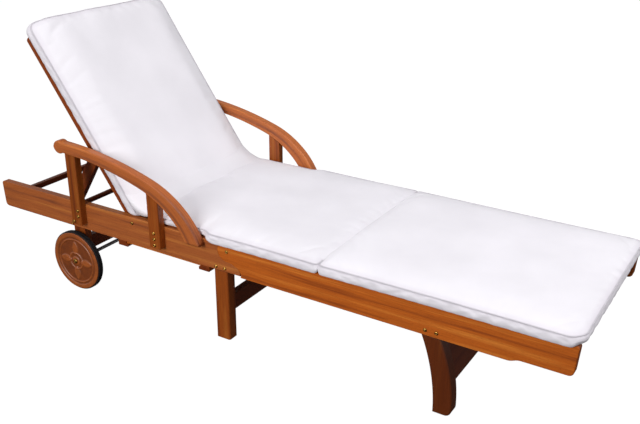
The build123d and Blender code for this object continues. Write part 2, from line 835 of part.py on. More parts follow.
pair("mid_leg", mid_leg())
nodes["mid_leg_stretcher"] = mid_stretcher()
pair("front_leg", front_leg())
nodes["front_apron"] = front_apron()
pair("wheel_leg", wheel_leg())
nodes["axle_beam"] = axle_beam()
nodes["wheel_axle"] = wheel_axle()
nodes["axle_washers"] = both([axle_washer()])
nodes["hub_caps"] = both([hub_cap()])
pair("wheel_disc", wheel_disc())
pair("tyre", tyre())

pair("arm", arm())
for name, x in (("rear_arm_post", rear_post_x), ("front_arm_post", front_post_x)):
    post = arm_post(x)
    for bolt_x, bolt_z in post_bolts:
        if abs(bolt_x - x) < post_width / 2:
            post -= hole(bolt_x, bolt_z, bolt_radius)
    pair(name, post)

pair("backrest_rail", backrest_rail())
nodes["backrest_slats"] = backrest_slats()
nodes["backrest_top_rail"] = backrest_top_rail()
pair("prop_leg", prop_leg())
nodes["prop_crossbar"] = crossbar()
pair("notch_strip", notch_strip())
nodes["rear_cross_rail"] = rear_cross_rail()

pair("seat_ledge", ledge(seat_start_x - slat_end_gap, seat_end_x + slat_end_gap))
nodes["seat_slats"] = slat_row(seat_start_x, seat_slat_count)
pair("leg_ledge", ledge(leg_start_x, leg_end_x))
nodes["leg_slats"] = slat_row(leg_start_x, leg_slat_count)

nodes["tray_batten_rear"] = batten(rear_batten_x, 1)
nodes["tray_batten_front"] = batten(front_batten_x, -1)
nodes["tray_slats"] = tray_slats()
nodes["tray_bearers"] = tray_bearers()

nodes["cushion_back"] = cushion_back()
nodes["cushion_seat"] = cushion_seat()
nodes["cushion_leg"] = cushion_leg()

post_face = -rail_outer - post_thickness
nodes["mid_leg_bolts"] = both([domed_bolt(x, z, bolt_radius, -rail_outer, -leg_inner) for x, z in mid_bolts])
nodes["front_leg_bolts"] = both([domed_bolt(x, z, bolt_radius, -rail_outer, -leg_inner)
                                 for x, z in front_bolts])
nodes["wheel_leg_bolts"] = both([domed_bolt(*wheel_leg_bolt, bolt_radius, -rail_outer,
                                            -rail_inner + wheel_leg_thickness)])
nodes["arm_post_bolts"] = both([headed_pin(x, z, bolt_radius, post_face, -rail_inner)
                                for x, z in post_bolts])
nodes["fold_pivot_bolts"] = both([domed_bolt(fold_x, fold_z, pivot_bolt_radius, -rail_outer,
                                             -rail_inner)])
nodes["backrest_pivot_bolts"] = both([domed_bolt(backrest_x, backrest_z, pivot_bolt_radius,
                                                 -rail_outer, -backrest_inner + pivot_nut_gap)])
nodes["prop_pivot_bolts"] = both([rod(prop_head_x, prop_head_z, bolt_radius, -backrest_outer,
                                      -prop_inner + pivot_nut_gap)
                                  + rod(prop_head_x, prop_head_z, nut_radius,
                                        -prop_inner + pivot_nut_gap,
                                        -prop_inner + pivot_nut_gap + nut_height)])

os.makedirs("parts", exist_ok=True)
for name, shape in nodes.items():
    placed = Pos(-centre_x, 0, 0) * shape
    export_step(placed, "parts/" + name + ".step")
print(len(nodes), "nodes, prop length", round(prop_length, 1), "slope", round(prop_slope, 1))
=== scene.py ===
import bmesh
import bpy
import numpy as np
from mathutils import Matrix, Vector


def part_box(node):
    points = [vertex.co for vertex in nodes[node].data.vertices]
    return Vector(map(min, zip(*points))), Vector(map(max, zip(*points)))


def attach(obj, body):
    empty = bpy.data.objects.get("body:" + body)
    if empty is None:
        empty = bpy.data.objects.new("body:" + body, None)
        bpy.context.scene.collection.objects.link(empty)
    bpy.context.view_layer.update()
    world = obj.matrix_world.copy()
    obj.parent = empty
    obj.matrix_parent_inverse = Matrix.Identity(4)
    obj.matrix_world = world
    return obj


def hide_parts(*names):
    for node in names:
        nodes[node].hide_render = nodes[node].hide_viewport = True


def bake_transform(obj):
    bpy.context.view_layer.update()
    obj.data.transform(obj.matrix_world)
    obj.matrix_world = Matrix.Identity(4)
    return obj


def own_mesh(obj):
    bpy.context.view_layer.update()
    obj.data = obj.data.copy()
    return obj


# A folding hardwood sun lounger with a white three-part pad. The frame is fixed, and everything below
# finishes its boards or stands where its plain solids are. Metres, X from the head end to the foot end.
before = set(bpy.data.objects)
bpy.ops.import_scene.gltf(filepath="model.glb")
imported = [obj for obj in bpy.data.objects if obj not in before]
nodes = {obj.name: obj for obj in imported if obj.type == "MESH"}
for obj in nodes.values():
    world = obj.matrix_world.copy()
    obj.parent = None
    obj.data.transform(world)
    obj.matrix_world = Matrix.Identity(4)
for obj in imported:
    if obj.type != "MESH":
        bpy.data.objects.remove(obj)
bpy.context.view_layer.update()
scene = bpy.context.scene

# Viewpoint
# The camera stands beyond the foot end on the right-hand side, a little above the backrest, and looks
# down along the lounger with the lens that fits the frame's corners, feet and wheel.
camera_place = Vector((1.3516, -2.0652, 1.3829))
camera_turn, camera_height, camera_roll = np.radians((31.33, 23.26, 0.45))
camera_lens, camera_sensor = 47.51, 36.0


def add(name, data):
    """A new object of the scene that carries the given data."""
    made = bpy.data.objects.new(name, data)
    scene.collection.objects.link(made)
    return made


back = Vector((np.sin(camera_turn) * np.cos(camera_height), -np.cos(camera_turn) * np.cos(camera_height),
               np.sin(camera_height)))
level = Vector((np.cos(camera_turn), np.sin(camera_turn), 0.0))
upright = back.cross(level)
right = np.cos(camera_roll) * level + np.sin(camera_roll) * upright
above = -np.sin(camera_roll) * level + np.cos(camera_roll) * upright
camera = add("camera", bpy.data.cameras.new("camera"))
camera.data.lens, camera.data.sensor_width = camera_lens, camera_sensor
camera.matrix_world = Matrix.Translation(camera_place) @ Matrix((right, above, back)).transposed().to_4x4()
scene.camera = camera

# Studio
# A white sweep that throws no light back, a broad light above the foot end, another on the viewer's side, a
# faint one overhead, and a surround that is white at the horizon and dim above it and below.
floor_reach = 60.0
floor_grey, floor_glow = (0.05, 0.05, 0.05, 1.0), (1.0, 0.997, 1.0, 1.0)
lamps = {
    "light_above_foot": dict(at=(2.1, 0.15, 3.1), aim=(0.1, 0.0, 0.35), size=1.8, watts=66.0),
    "light_beside": dict(at=(-0.3, -3.4, 1.7), aim=(0.1, 0.0, 0.3), size=1.8, watts=78.0),
    "light_overhead": dict(at=(-0.5, 0.3, 3.2), aim=(-0.1, 0.0, 0.3), size=1.6, watts=10.0),
}
sky_stops = [(0.46, (0.05, 0.045, 0.045, 1)), (0.485, (1, 1, 1, 1)), (0.52, (1, 1, 1, 1)),
             (0.60, (0.42, 0.42, 0.43, 1)), (1.0, (0.22, 0.22, 0.24, 1))]
scene.view_settings.view_transform = "Standard"


def wire(tree, node, inputs):
    """Give each named input of a shader node a socket to follow, or a value."""
    for key, value in inputs.items():
        if isinstance(value, bpy.types.NodeSocket):
            tree.links.new(value, node.inputs[key])
        else:
            node.inputs[key].default_value = value


def put(tree, kind, inputs=None, **settings):
    """Add a shader node. settings are its properties."""
    made = tree.nodes.new("ShaderNode" + kind)
    for key, value in settings.items():
        setattr(made, key, value)
    wire(tree, made, inputs or {})
    return made


def new_material(name):
    """A new material, with its node tree and its shader."""
    made = bpy.data.materials.new(name)
    made.use_nodes = True
    return made, made.node_tree, made.node_tree.nodes["Principled BSDF"]


def tint(red, green, blue):
    """A colour given as it shows on a screen, from 0 to 255, turned into the shader's linear scale."""
    share = np.array((red, green, blue)) / 255.0
    linear = np.where(share <= 0.04045, share / 12.92, ((share + 0.055) / 1.055) ** 2.4)
    return (*linear.tolist(), 1.0)


def ramp(tree, factor, stops):
    """A colour ramp through (place, colour) stops."""
    made = put(tree, "ValToRGB", {"Fac": factor})
    points = made.color_ramp.elements
    while len(points) < len(stops):
        points.new(0.5)
    for point, (place, colour) in zip(points, stops):
        point.position, point.color = place, colour
    return made.outputs["Color"]


corners = floor_reach * np.array([(-1, -1, 0), (1, -1, 0), (1, 1, 0), (-1, 1, 0)], float)
floor_mesh = bpy.data.meshes.new("floor")
floor_mesh.from_pydata(corners.tolist(), [], [(0, 1, 2, 3)])
floor = add("floor", floor_mesh)
floor.visible_diffuse = floor.visible_glossy = False
paper, paper_tree, paper_shader = new_material("floor_paper")
wire(paper_tree, paper_shader, {"Base Color": floor_grey, "Roughness": 1.0, "Specular IOR Level": 0.0,
                                "Emission Color": floor_glow, "Emission Strength": 1.0})
floor_mesh.materials.append(paper)

for name, lamp in lamps.items():
    light = bpy.data.lights.new(name, "AREA")
    light.shape, light.size, light.energy = "DISK", lamp["size"], lamp["watts"]
    holder = add(name, light)
    holder.location = lamp["at"]
    holder.rotation_euler = (Vector(lamp["aim"]) - Vector(lamp["at"])).to_track_quat("-Z", "Y").to_euler()

world = bpy.data.worlds.new("surround")
scene.world = world
world.use_nodes = True
sky = world.node_tree
sky_height = put(sky, "SeparateXYZ", {"Vector": put(sky, "TexCoord").outputs["Generated"]}).outputs["Z"]
sky_level = put(sky, "MapRange", {"Value": sky_height, "From Min": -1.0}).outputs["Result"]
wire(sky, sky.nodes["Background"], {"Color": ramp(sky, sky_level, sky_stops)})

# Hardwood boards
# Every board is sawn from reddish tropical hardwood with its grain along its length, planed, eased at
# the edges and wiped with teak oil. Legs, prop and cross pieces are darkened, partly as darker stock and
# partly as painted shade for the shade they stand in under the rails, arms and pad.
wood_pale, wood_mid, wood_deep = tint(222, 132, 50), tint(190, 96, 26), tint(134, 58, 14)
# The pale colour after wood_red is mixed in all over, partly as oil worn off and partly as a painted sheen.
wood_red, wood_sheen_and_wear = tint(150, 52, 20), tint(206, 176, 150)
edge_softness = 0.0016
along_x, along_y, along_z = (0, 0, 0), (0, 0, -np.pi / 2), (0, np.pi / 2, 0)


def maths(tree, operation, *values):
    """One arithmetic node on numbers or sockets."""
    return put(tree, "Math", dict(enumerate(values)), operation=operation).outputs[0]


def mixed(tree, share, colour, other, blend="MIX"):
    """Two colours mixed, or multiplied, by a share."""
    inputs = {"Fac": share, "Color1": colour, "Color2": other}
    return put(tree, "MixRGB", inputs, blend_type=blend).outputs["Color"]


def hardwood(name, turn=along_x, shift=(0, 0, 0), shade=1.0, redness=0.0, follows=None, pitch=None, sheen_and_wear=0.0):
    """Oiled hardwood. Noise stretched along the grain gives the streaks, a warped wave the growth rings and
    a finer noise the pores. turn brings the grain to the texture's X, shift moves the pattern, follows
    names an attribute to use in place of object coordinates, pitch = (start, step) along the object's X
    gives each slat of a row its own tone, shade darkens the whole board, partly as darker stock and
    partly as painted shade, and the last argument mixes pale wood in all over, partly as oil worn off and
    partly as a painted sheen."""
    made, tree, shader = new_material(name)
    spot = put(tree, "TexCoord").outputs["Object"]
    place = put(tree, "Attribute", attribute_name=follows).outputs["Vector"] if follows else spot
    row_tone = None
    if pitch:
        along = put(tree, "SeparateXYZ", {"Vector": spot}).outputs["X"]
        row = maths(tree, "DIVIDE", maths(tree, "SUBTRACT", along, pitch[0]), pitch[1])
        row = maths(tree, "FLOOR", row)
        row_tone = put(tree, "TexWhiteNoise", {"W": row}, noise_dimensions="1D").outputs["Value"]
        row_shift = put(tree, "CombineXYZ", {"X": row, "Y": row_tone, "Z": row_tone}).outputs["Vector"]
        place = put(tree, "VectorMath", {0: place, 1: row_shift}, operation="ADD").outputs["Vector"]
    board = put(tree, "Mapping", {"Vector": place, "Location": shift, "Rotation": turn}).outputs["Vector"]

    def grain(scale, detail, roughness=0.6, distortion=0.0):
        """Noise on the board's coordinates, stretched by scale."""
        stretched = put(tree, "Mapping", {"Vector": board, "Scale": scale}).outputs["Vector"]
        return put(tree, "TexNoise", {"Vector": stretched, "Scale": 1.0, "Detail": detail,
                                      "Roughness": roughness, "Distortion": distortion}).outputs["Fac"]

    streaks = grain((2.4, 62.0, 62.0), 5.0, 0.62, 0.35)
    fibres = grain((14.0, 520.0, 520.0), 3.0)
    clouds = grain((1.1, 7.0, 7.0), 2.0)
    pores = grain((95.0, 1500.0, 1500.0), 1.0)
    warped = put(tree, "Mapping", {"Vector": board, "Scale": (0.55, 9.0, 9.0)}).outputs["Vector"]
    rings = put(tree, "TexWave", {"Vector": warped, "Scale": 0.9, "Distortion": 7.5, "Detail": 3.0,
                                  "Detail Scale": 0.55}, bands_direction="Z").outputs["Fac"]
    figure = maths(tree, "MULTIPLY", streaks, 0.62)
    figure = maths(tree, "MULTIPLY_ADD", rings, 0.20, figure)
    figure = maths(tree, "MULTIPLY_ADD", clouds, 0.34, figure)
    if row_tone:
        figure = maths(tree, "MULTIPLY_ADD", row_tone, 0.16, figure)
    colour = ramp(tree, figure, [(0.36, wood_deep), (0.50, wood_mid), (0.62, wood_mid), (0.80, wood_pale)])
    colour = mixed(tree, redness, colour, wood_red)
    # Pale wood mixed in all over: partly oil worn off, partly a painted sheen.
    if sheen_and_wear:
        colour = mixed(tree, sheen_and_wear, colour, wood_sheen_and_wear)
    thin = ramp(tree, fibres, [(0.30, (0.72, 0.68, 0.66, 1)), (0.62, (1.06, 1.05, 1.04, 1))])
    colour = mixed(tree, 0.8, colour, thin, "MULTIPLY")
    pits = ramp(tree, pores, [(0.30, (0.42, 0.36, 0.34, 1)), (0.40, (1, 1, 1, 1))])
    colour = mixed(tree, 0.55, colour, pits, "MULTIPLY")
    facing = put(tree, "Mapping", {"Vector": put(tree, "TexCoord").outputs["Normal"], "Rotation": turn},
                 vector_type="VECTOR").outputs["Vector"]
    end_on = maths(tree, "ABSOLUTE", put(tree, "SeparateXYZ", {"Vector": facing}).outputs["X"])
    # shade darkens every face, partly as darker stock and partly as painted shade; end grain darkens further.
    end_grain_and_shade = ramp(tree, end_on, [(0.80, (shade, shade, shade, 1)),
                                   (0.97, (0.55 * shade, 0.48 * shade, 0.45 * shade, 1))])
    colour = mixed(tree, 1.0, colour, end_grain_and_shade, "MULTIPLY")
    dull = put(tree, "MapRange", {"Value": streaks, "To Min": 0.50, "To Max": 0.34}).outputs["Result"]
    eased = put(tree, "Bevel", {"Radius": edge_softness}, samples=4).outputs["Normal"]
    relief = maths(tree, "MULTIPLY_ADD", pores, 0.5, fibres)
    rough = put(tree, "Bump", {"Strength": 0.16, "Distance": 0.0005, "Height": relief, "Normal": eased})
    wire(tree, shader, {"Base Color": colour, "Roughness": dull, "Specular IOR Level": 0.32,
                        "Normal": rough.outputs["Normal"]})
    return made


def finish_boards(names, material):
    """Give CAD boards a finish of their own."""
    for board in names:
        nodes[board].material_slots[0].material = material


def sides(name):
    """The right-hand and the left-hand piece of a pair."""
    return [name + "_right", name + "_left"]


# Side rails
# Two boards a side, rear and front, lapped in a round knuckle on one bolt. The front one is the
# brightest board of the frame.
# The rear rails are darker and a little paler than the front ones, and the far front rail is darkened as
# painted shade, for the shade at its foot end.
finish_boards(["rear_rail_right"], hardwood("rail_wood_rear", shift=(0.3, 0.1, 0.2), shade=0.76, sheen_and_wear=0.08))
finish_boards(["front_rail_right"], hardwood("rail_wood_front", shift=(1.7, 0.4, 0.7)))
finish_boards(["rear_rail_left"], hardwood("rail_wood_rear_far", shift=(2.9, 0.8, 0.1), shade=0.86, sheen_and_wear=0.10))
finish_boards(["front_rail_left"], hardwood("rail_wood_front_far", shift=(4.1, 0.2, 0.5), shade=0.6))

# Legs and posts
# Upright boards with the grain along them: straight middle legs, sabre front legs, short wheel legs
# inside the rails and the posts that carry the arms outside them.
# All are darkened, partly as darker stock and partly as painted shade for the shade they stand in under the
# rails, pad and arms.
finish_boards(sides("mid_leg"), hardwood("leg_wood", along_z, (0.2, 0.5, 0.9), 0.62, 0.15))
finish_boards(sides("front_leg"), hardwood("front_leg_wood", along_z, (1.2, 0.1, 0.4), 0.29, 0.45))
finish_boards(sides("wheel_leg"), hardwood("wheel_leg_wood", along_z, (0.7, 0.3, 0.6), 0.5, 0.3))
finish_boards(sides("rear_arm_post"), hardwood("rear_post_wood", along_z, (2.2, 0.6, 0.3), 0.52, 0.1))
finish_boards(sides("front_arm_post"), hardwood("front_post_wood", along_z, (3.1, 0.9, 0.2), 0.62, 0.1))

# Cross pieces
# Stretcher, apron, axle beam and the prop's crossbar run across the frame, and are darkened, partly as
# dark stock and partly as painted shade for the shade of the pad over them. The tray's battens, the
# notched strips and the slats' ledges are paler.
finish_boards(["mid_leg_stretcher", "axle_beam", "rear_cross_rail", "prop_crossbar"],
              hardwood("cross_wood", along_y, (0.4, 1.1, 0.7), 0.36, 0.6))
finish_boards(["front_apron"], hardwood("apron_wood", along_y, (1.4, 0.2, 0.1), 0.4, 0.6))
finish_boards(["tray_batten_rear", "tray_batten_front", "tray_bearers"],
              hardwood("batten_wood", along_y, (2.4, 0.6, 0.9), 0.8, 0.25))
finish_boards(sides("notch_strip") + sides("seat_ledge") + sides("leg_ledge"),
              hardwood("ledge_wood", along_x, (3.3, 0.2, 0.3), 0.8, 0.2))

# Slats
# Rows of thin slats under the pads, each cut from another board, so that each has its own tone. The tray's
# slats lie lengthwise and share one.
slat_pitch, slat_gap_half = 0.075, 0.0125
for row, shift in (("seat", (0.1, 0.9, 0.4)), ("leg", (0.8, 0.3, 0.2))):
    row_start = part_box(row + "_slats")[0].x - slat_gap_half
    finish_boards([row + "_slats"], hardwood(row + "_slat_wood", along_y, shift, 0.92,
                                             pitch=(row_start, slat_pitch)))
finish_boards(["tray_slats"], hardwood("tray_slat_wood", along_x, (1.8, 0.5, 0.6), 0.9))

# Backrest frame and its prop
# Two side rails, eight slats and a top rail, held up by a two-legged prop behind. Their grain follows
# the slope of the backrest and of the prop.
rest_tilt, prop_tilt = np.radians((54.6, 57.4))
back_slat_start, back_slat_pitch = -0.72, 0.0404
finish_boards(sides("backrest_rail"),
              hardwood("backrest_rail_wood", (0, -rest_tilt, 0), (0.6, 0.2, 0.8), 0.6, 0.4))
finish_boards(["backrest_slats", "backrest_top_rail"],
              hardwood("backrest_slat_wood", along_y, (1.1, 0.7, 0.5), 0.85, 0.1,
                       pitch=(back_slat_start, back_slat_pitch)))
# The prop is darkened, partly as darker stock and partly as painted shade for the shade behind the backrest.
finish_boards(sides("prop_leg"), hardwood("prop_wood", (0, prop_tilt, 0), (2.1, 0.4, 0.9), 0.55, 0.5))

# Arms
# Each arm is a flat arch, sawn to a curve and laid on edge outside the rail. It sweeps from a blunt tip
# behind, over the two posts, down to the rail, with all its edges rounded over. The points of its outline
# are millimetres from the head end and the floor, and arm_counts gives the steps of half a tip and each arc.
mm = 0.001
centre_x = 1.004
arm_near, arm_far = -0.342, -0.312
arm_edge = 0.0045
arm_tip = [(353, 497), (318, 514), (353, 531)]
arm_upper = [(353, 531), (572, 505.5), (700, 472.5), (812, 412), (891, 306)]
arm_lower = [(353, 497), (503, 483), (670, 443), (772, 387), (838, 306)]
arm_counts = (9, 34, 20, 18)
edge_most_share, tip_narrowing_share = 0.45, 0.8


def arc_through(start, middle, end, count):
    """Points of the circle through three points: its centre solves two perpendicular bisectors, and the
    angle runs evenly from start to end on the side of the middle one."""
    a, b, c = (np.array(p, float) for p in (start, middle, end))
    lines = 2.0 * np.array([b - a, c - a])
    centre = np.linalg.solve(lines, np.array([b @ b - a @ a, c @ c - a @ a]))
    angles = [np.arctan2(*(p - centre)[::-1]) for p in (a, b, c)]
    turn = (angles[2] - angles[0]) % (2.0 * np.pi)
    if (angles[1] - angles[0]) % (2.0 * np.pi) > turn:
        turn -= 2.0 * np.pi
    swept = angles[0] + turn * np.linspace(0.0, 1.0, count + 1)
    radius = np.hypot(*(a - centre))
    return centre + radius * np.stack([np.cos(swept), np.sin(swept)], 1)


def arc_onward(start, heading, end, count):
    """Points of the circle that leaves start along heading and ends at end: the radius is half the chord
    squared over the chord's share across the heading."""
    a, c = np.array(start, float), np.array(end, float)
    across = np.array([-heading[1], heading[0]]) / np.hypot(*heading)
    radius = (c - a) @ (c - a) / (2.0 * across @ (c - a))
    centre = a + radius * across
    first, last = (np.arctan2(*(p - centre)[::-1]) for p in (a, c))
    turn = (last - first + np.pi) % (2.0 * np.pi) - np.pi
    swept = first + turn * np.linspace(0.0, 1.0, count + 1)
    return centre + abs(radius) * np.stack([np.cos(swept), np.sin(swept)], 1)


def arch(points, tip, counts):
    """One edge of the arm: half of the tip, then an arc over three points and two arcs that go on from it."""
    over = arc_through(*points[:3], counts[1])
    bend = arc_onward(over[-1], over[-1] - over[-2], points[3], counts[2])
    drop = arc_onward(bend[-1], bend[-1] - bend[-2], points[4], counts[3])
    return np.concatenate([tip, over[1:], bend[1:], drop[1:]])


def mesh_piece(name, points, faces, material, smooth=True):
    """A closed mesh at the origin, with its doubles merged and its faces turned outwards."""
    mesh = bpy.data.meshes.new(name)
    mesh.from_pydata(np.asarray(points, float).reshape(-1, 3).tolist(), [], [list(f) for f in faces])
    work = bmesh.new()
    work.from_mesh(mesh)
    bmesh.ops.remove_doubles(work, verts=work.verts, dist=1e-6)
    bmesh.ops.recalc_face_normals(work, faces=work.faces)
    work.to_mesh(mesh)
    work.free()
    mesh.polygons.foreach_set("use_smooth", np.full(len(mesh.polygons), smooth))
    mesh.materials.append(material)
    return add(name, mesh)


def coordinates(mesh):
    """The places of a mesh's vertices, one row each."""
    found = np.zeros(len(mesh.vertices) * 3)
    mesh.vertices.foreach_get("co", found)
    return found.reshape(-1, 3)


def mark(mesh, name, values):
    """Keep one number for each vertex, for a material to read."""
    mesh.attributes.new(name, "FLOAT", "POINT").data.foreach_set("value", values)


def tube_faces(rows, ring, closed=False):
    """Quads of a grid of rings, each closed on itself, and joined end to end where closed is true."""
    row = np.arange(rows if closed else rows - 1)[:, None]
    step = np.arange(ring)[None, :]
    after, beside = (row + 1) % rows, (step + 1) % ring
    quads = [row * ring + step, row * ring + beside, after * ring + beside, after * ring + step]
    return np.stack([np.broadcast_to(q, (len(row), ring)) for q in quads], -1).reshape(-1, 4).tolist()


def edge_ring(radius, count=5, support=0.0012):
    """Corner of a rounded board: count points of a quarter circle, and a supporting point on each flat."""
    angles = np.linspace(0.0, np.pi / 2, count)
    arc = np.stack([np.cos(angles), np.sin(angles)], 1) * radius
    return np.concatenate([[(radius, -support)], arc, [(-support, radius)]])


def arched_board(name, upper, lower, near, far, edge, material):
    """A board between two edge curves. At each station the section is a rectangle from the lower curve to
    the upper one, with its corners rounded by edge, and thinner where the curves meet in the tip."""
    across = upper - lower
    depth = np.hypot(*across.T)[:, None]
    rise = across / np.maximum(depth, 1e-9)
    rise[0] = rise[1]
    corner = edge_ring(1.0, support=0.25)
    signs = [(1, 1), (-1, 1), (-1, -1), (1, -1)]
    section = [(corner if sx * sz > 0 else corner[::-1]) * (sx, sz) for sx, sz in signs]
    flat = np.concatenate([np.tile(s, (len(corner), 1)) for s in signs])
    rounding = np.concatenate(section)
    radius = np.minimum(edge, depth * edge_most_share)
    half = (far - near) / 2 - (edge - radius) * tip_narrowing_share
    side = flat[:, 0] * (half - radius) + rounding[:, 0] * radius
    height = flat[:, 1] * (depth / 2 - radius) + rounding[:, 1] * radius
    middle = (upper + lower) / 2
    x = middle[:, :1] + height * rise[:, :1]
    z = middle[:, 1:] + height * rise[:, 1:]
    y = (near + far) / 2 + side
    points = np.stack([x, y, z], -1)
    rows, ring = x.shape
    faces = tube_faces(rows, ring) + [list(range(ring)), list(range((rows - 1) * ring, rows * ring))]
    run = np.concatenate([[0.0], np.cumsum(np.hypot(*np.diff(middle, axis=0).T))])
    follow = np.stack([np.broadcast_to(run[:, None], x.shape), y, height], -1).reshape(-1, 3)
    piece = mesh_piece(name, points, faces, material)
    placed = coordinates(piece.data)
    nearest = np.argmin(((placed[:, None] - points.reshape(1, -1, 3)) ** 2).sum(-1), axis=1)
    grain = piece.data.attributes.new("grain", "FLOAT_VECTOR", "POINT")
    grain.data.foreach_set("vector", follow[nearest].ravel())
    return piece


tip = arc_through(*arm_tip, 2 * arm_counts[0])
arm_curves = [arch(arm_lower, tip[arm_counts[0]::-1], arm_counts),
              arch(arm_upper, tip[arm_counts[0]:], arm_counts)]
arm_curves = [curve * mm - (centre_x, 0.0) for curve in arm_curves]
for side, flip in (("right", 1), ("left", -1)):
    # The arms are paled a little all over as a painted sheen.
    arm_wood = hardwood("arm_wood_" + side, shift=(0.9 * flip, 0.3, 0.2), shade=0.9, follows="grain",
                        sheen_and_wear=0.08)
    limits = sorted((flip * arm_near, flip * arm_far))
    arm = arched_board("armrest_" + side, arm_curves[1], arm_curves[0], *limits, arm_edge, arm_wood)
    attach(arm, "rear_frame")
    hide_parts("arm_" + side)

# Wheels
# A brown moulded disc with a raised rim, two raised rings and a relief of four petals, in a black rubber
# tyre with shallow grooves. Each turns on the axle between a spacer and a push-on cap.
wheel_x, wheel_z = -0.670, 0.104
wheel_face, wheel_back = -0.320, -0.296
wheel_radius, rim_radius, lip_radius, bore = 0.104, 0.096, 0.1004, 0.0061
lip_depth, lip_bevel = 0.0034, 0.0012
relief_height, relief_roll = 0.003, 0.0009
rim_width, boss_radius = 0.010, 0.015
ring_shares, ring_half, ring_height = (0.80, 0.30), 0.0042, 0.0026
petal_start_share, petal_end_share, petal_half_share = 0.22, 0.74, 0.15
vein_half, vein_depth = 0.0011, 0.0009
wheel_steps = 160


def turned(radii, depths, steps):
    """Surface of revolution about Y: a closed profile of radii and depths swept through whole turns.
    Returns the grid of points about the axis, the angles across and the radii down."""
    angles = np.linspace(0.0, 2.0 * np.pi, steps, endpoint=False)
    radii, depths = np.asarray(radii)[:, None], np.asarray(depths)[:, None]
    x, z = radii * np.cos(angles), radii * np.sin(angles)
    return np.stack([x, np.broadcast_to(depths, x.shape), z], -1), angles


def bump_up(distance, half, height):
    """A rounded ridge: height times the cosine bell over the given half width."""
    share = np.clip(np.abs(distance) / half, 0.0, 1.0)
    return height * 0.5 * (1.0 + np.cos(np.pi * share))


def wheel_relief(radius, angle):
    """How far the disc's face stands above its field: a flat rim and boss with rolled edges, cosine rings,
    and four leaves with an elliptical section, a power of a sine wide, with a vein down the middle."""
    share = radius / rim_radius
    rim = relief_height / (1.0 + np.exp(-(radius - (rim_radius - rim_width)) / relief_roll))
    boss = relief_height / (1.0 + np.exp((radius - boss_radius) / relief_roll))
    rings = sum(bump_up(radius - place * rim_radius, ring_half, ring_height) for place in ring_shares)
    along = np.clip((share - petal_start_share) / (petal_end_share - petal_start_share), 0.0, 1.0)
    width = petal_half_share * rim_radius * np.sin(np.pi * along) ** 0.8 + 1e-6
    turn = (angle + np.pi / 4) % (np.pi / 2) - np.pi / 4
    leaf = np.clip(1.0 - (radius * np.sin(turn) / width) ** 2, 0.0, 1.0) * (along > 0) * (along < 1)
    vein = bump_up(radius * np.sin(turn), vein_half, vein_depth) * (leaf > 0)
    return rim + boss + rings + relief_height * np.sqrt(leaf) - vein


def plain_material(name, colour, roughness, metallic=0.0, specular=0.5, grit=900.0, relief=0.0002, worn=0.75):
    """A finish with fine grit: noise darkens the colour to worn, and roughens and dents the surface."""
    made, tree, shader = new_material(name)
    spot = put(tree, "TexCoord").outputs["Object"]
    fine = put(tree, "TexNoise", {"Vector": spot, "Scale": grit, "Detail": 2.0}).outputs["Fac"]
    broad = put(tree, "TexNoise", {"Vector": spot, "Scale": 38.0, "Detail": 4.0}).outputs["Fac"]
    dark = tuple(worn * channel for channel in colour[:3]) + (1.0,)
    tone = ramp(tree, broad, [(0.35, dark), (0.65, colour)])
    gloss = put(tree, "MapRange", {"Value": broad, "To Min": roughness * 1.2, "To Max": roughness * 0.8})
    dent = put(tree, "Bump", {"Strength": 0.3, "Distance": relief, "Height": fine})
    wire(tree, shader, {"Base Color": tone, "Roughness": gloss.outputs["Result"], "Metallic": metallic,
                        "Specular IOR Level": specular, "Normal": dent.outputs["Normal"]})
    return made


def disc_material():
    """Brown moulded disc with painted light: the relief attribute brightens the ridges as a painted highlight
    and darkens the sunken field as painted shade.
    """
    made = plain_material("wheel_disc_tone_and_relief_shade", tint(164, 88, 38), 0.42, worn=0.74)
    tree, shader = made.node_tree, made.node_tree.nodes["Principled BSDF"]
    raised = put(tree, "Attribute", attribute_name="relief").outputs["Fac"]
    shade = ramp(tree, raised, [(0.0, (0.58, 0.50, 0.44, 1)), (0.35, (0.8, 0.76, 0.72, 1)),
                                (0.9, (1.0, 0.94, 0.86, 1))])
    tone = shader.inputs["Base Color"].links[0].from_socket
    wire(tree, shader, {"Base Color": mixed(tree, 1.0, tone, shade, "MULTIPLY")})
    return made


disc_tone_and_relief_shade = disc_material()
rubber = plain_material("tyre_finish", tint(26, 22, 25), 0.6, specular=0.3, grit=1400.0, relief=0.0003)
wheel_width = wheel_back - wheel_face
face_start, face_step = 0.008, 0.0011
back_bevel, back_inset, back_rows = 0.001, 0.003, 24
face_radii = np.concatenate([[bore], np.arange(face_start, lip_radius - lip_bevel, face_step)])
edge_round = np.array([(lip_radius - lip_bevel, 0.0003), (lip_radius - 0.0004, 0.0008), (lip_radius, 0.0018),
                       (lip_radius, lip_depth), (rim_radius, lip_depth)])
disc_radii = np.concatenate([face_radii, edge_round[:, 0], [rim_radius, rim_radius - lip_bevel],
                             np.linspace(rim_radius - back_inset, bore, back_rows)])
disc_depths = np.concatenate([np.zeros(len(face_radii)), edge_round[:, 1],
                              [wheel_width - back_bevel, wheel_width], np.full(back_rows, wheel_width)])
disc_points, disc_angles = turned(disc_radii, disc_depths, wheel_steps)
raised = wheel_relief(face_radii[:, None], disc_angles[None, :])
disc_points[:len(face_radii), :, 1] += relief_height - raised
# The relief share paints light on the disc: lighter on the ridges, darker in the sunken field; its edge and
# back take the ridges' tone.
disc_relief = np.full(disc_points.shape[:2], 0.9)
disc_relief[:len(face_radii)] = raised / relief_height

